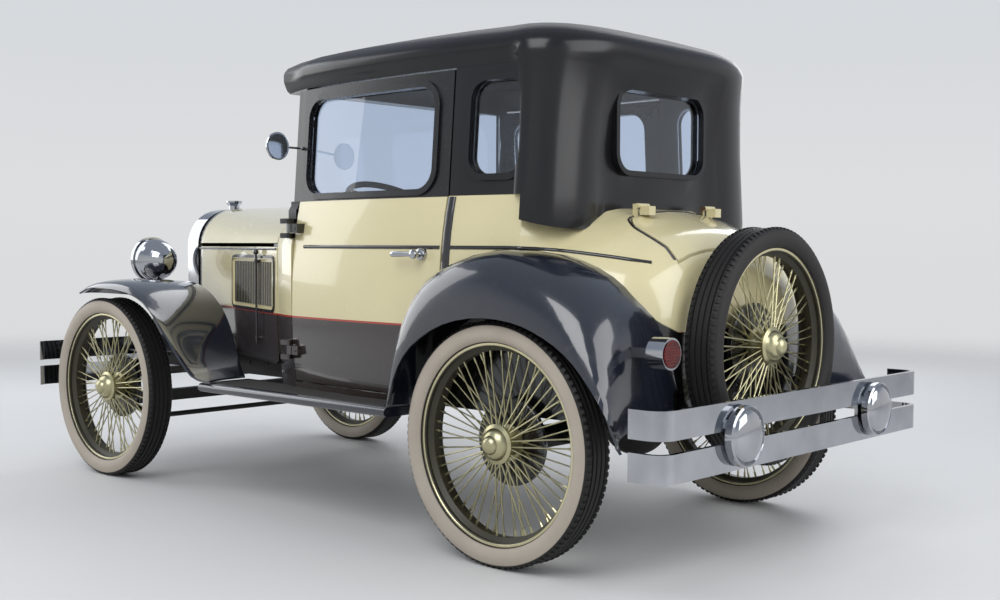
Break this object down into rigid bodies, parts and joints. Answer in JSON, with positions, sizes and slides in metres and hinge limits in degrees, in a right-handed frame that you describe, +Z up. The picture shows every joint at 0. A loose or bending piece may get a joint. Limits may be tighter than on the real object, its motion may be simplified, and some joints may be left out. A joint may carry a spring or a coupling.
{
  "type": "vintage coupe car",
  "caption": "Vintage coupe with a dark top over a cream body, separate fenders, wire wheels, louvred hood, running boards and an upright spare behind the tail.",
  "frame": {"origin": "centre of the bounding box at the level of the tyre contact", "axes": "+X forward along the car, +Y to its left, +Z up"},
  "size_m": [3.54, 1.63, 1.79],
  "materials": {
    "iron": "satin black enamel",
    "exhaust_steel": "dull heated steel",
    "chrome": "polished",
    "core": "dark honeycomb",
    "lens": "clear fluted",
    "red_lens": "red",
    "fender_paint": "gloss blue-black",
    "body_paint": "gloss cream over dark lower panels",
    "top_paint": "satin dark",
    "glass": "clear",
    "dash": "satin",
    "seat": "matte",
    "black_gloss": "gloss",
    "wheel_paint": "gloss gold-cream",
    "tyre": "matte with pale side walls"
  },
  "bodies": {
    "chassis": {"chassis_frame": "iron", "engine_block": "iron", "drive_line": "iron", "front_axle": "iron", "rear_axle": "iron", "leaf_springs": "iron", "spare_carrier": "iron", "floor": "iron", "exhaust": "exhaust_steel", "radiator_shell": "chrome", "front_bumper": "chrome", "rear_bumper": "chrome", "headlamps": "chrome", "lamp_bar": "chrome", "tail_lamp": "chrome", "radiator_core": "core", "lamp_lenses": "lens", "tail_lens": "red_lens", "fenders_front": "fender_paint", "fenders_rear": "fender_paint", "running_boards": "fender_paint", "cowl": "body_paint", "hood_sides": "body_paint", "body_rear": "body_paint", "cabin_top": "top_paint", "fixed_glass": "glass", "dashboard": "dash", "seat_cushion": "seat", "seat_back": "seat", "steering_column": "black_gloss", "spare_wheel": "wheel_paint", "spare_tyre": "tyre"},
    "door_left": {"door_left": "body_paint", "door_glass_left": "glass", "door_trim_left": "chrome"},
    "door_right": {"door_right": "body_paint", "door_glass_right": "glass", "door_trim_right": "chrome"},
    "trunk_lid": {"trunk_lid": "body_paint"},
    "hood_left": {"hood_left": "body_paint"},
    "hood_right": {"hood_right": "body_paint"},
    "steering_wheel": {"steering_wheel": "black_gloss"},
    "knuckle_left": {"knuckle_left": "iron"},
    "knuckle_right": {"knuckle_right": "iron"},
    "tie_rod": {"tie_rod": "iron"},
    "wheel_front_left": {"wheel_front_left": "wheel_paint", "tyre_front_left": "tyre"},
    "wheel_front_right": {"wheel_front_right": "wheel_paint", "tyre_front_right": "tyre"},
    "wheel_rear_left": {"wheel_rear_left": "wheel_paint", "tyre_rear_left": "tyre"},
    "wheel_rear_right": {"wheel_rear_right": "wheel_paint", "tyre_rear_right": "tyre"}
  },
  "joints": [
    {"name": "steer_left", "type": "hinge", "parent": "chassis", "child": "knuckle_left", "pos_m": [1.3, 0.6, 0.39], "axis": [0, 0, 1], "range_deg": [-30, 30]},
    {"name": "steer_right", "type": "hinge", "parent": "chassis", "child": "knuckle_right", "pos_m": [1.3, -0.6, 0.39], "axis": [0, 0, 1], "range_deg": [-30, 30]},
    {"name": "tie_rod_pivot", "type": "hinge", "parent": "knuckle_left", "child": "tie_rod", "pos_m": [1.15, 0.6, 0.259], "axis": [0, 0, 1], "range_deg": [-30, 30]},
    {"name": "steering_wheel_turn", "type": "hinge", "parent": "chassis", "child": "steering_wheel", "pos_m": [0.182, 0.33, 0.5766], "axis": [-0.5, 0, 0.866], "range_deg": [-330, 330]},
    {"name": "spin_front_left", "type": "hinge", "parent": "knuckle_left", "child": "wheel_front_left", "pos_m": [1.3, 0.706, 0.39], "axis": [0, 1, 0], "continuous": true},
    {"name": "spin_front_right", "type": "hinge", "parent": "knuckle_right", "child": "wheel_front_right", "pos_m": [1.3, -0.706, 0.39], "axis": [0, 1, 0], "continuous": true},
    {"name": "spin_rear_left", "type": "hinge", "parent": "chassis", "child": "wheel_rear_left", "pos_m": [-1.03, 0.706, 0.39], "axis": [0, 1, 0], "continuous": true},
    {"name": "spin_rear_right", "type": "hinge", "parent": "chassis", "child": "wheel_rear_right", "pos_m": [-1.03, -0.706, 0.39], "axis": [0, 1, 0], "continuous": true},
    {"name": "door_left_hinge", "type": "hinge", "parent": "chassis", "child": "door_left", "pos_m": [0.109, 0.664, 1], "axis": [0, 0, -1], "range_deg": [0, 65]},
    {"name": "door_right_hinge", "type": "hinge", "parent": "chassis", "child": "door_right", "pos_m": [0.109, -0.664, 1], "axis": [0, 0, 1], "range_deg": [0, 65]},
    {"name": "hood_left_hinge", "type": "hinge", "parent": "chassis", "child": "hood_left", "pos_m": [0.77, 0.02, 1.18], "axis": [1, 0, 0], "range_deg": [0, 60]},
    {"name": "hood_right_hinge", "type": "hinge", "parent": "chassis", "child": "hood_right", "pos_m": [0.77, -0.02, 1.18], "axis": [-1, 0, 0], "range_deg": [0, 60]},
    {"name": "trunk_lid_hinge", "type": "hinge", "parent": "chassis", "child": "trunk_lid", "pos_m": [-1.197, 0, 1.15], "axis": [0, 1, 0], "range_deg": [0, 60]}
  ],
  "couplings": [
    {"joint": "steer_right", "follows": "steer_left", "ratio": 1},
    {"joint": "tie_rod_pivot", "follows": "steer_left", "ratio": -1},
    {"joint": "steering_wheel_turn", "follows": "steer_left", "ratio": 11}
  ]
}
